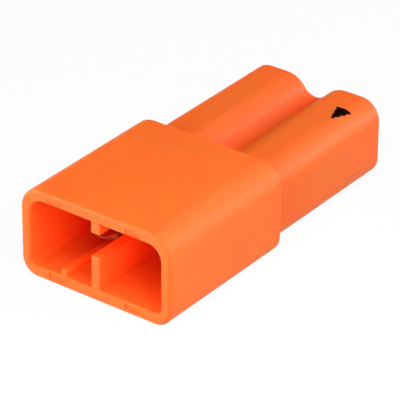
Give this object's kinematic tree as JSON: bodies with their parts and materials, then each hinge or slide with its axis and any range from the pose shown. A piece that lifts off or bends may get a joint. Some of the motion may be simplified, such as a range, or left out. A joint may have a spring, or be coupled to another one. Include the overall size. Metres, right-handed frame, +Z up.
{
  "type": "push-in wire connector",
  "caption": "Orange push-in wire connector half: a keyed rectangular hood takes the mating half, and a lobed rear body takes stripped wires through funnelled ports.",
  "frame": {"origin": "middle of the underside, on the surface that the connector lies on", "axes": "+X to the right when looking into the hood's mouth, +Y from the mouth to the wire ports, +Z up"},
  "size_m": [0.021, 0.0428, 0.0115],
  "materials": {
    "orange_plastic": "satin moulded",
    "tinned_contact": "tin plated",
    "spring_steel": "bright rolled"
  },
  "bodies": {
    "root": {"hood": "orange_plastic", "wire_body": "orange_plastic", "contact_left": "tinned_contact", "contact_right": "tinned_contact", "spring_left": "spring_steel", "spring_right": "spring_steel"}
  },
  "joints": []
}
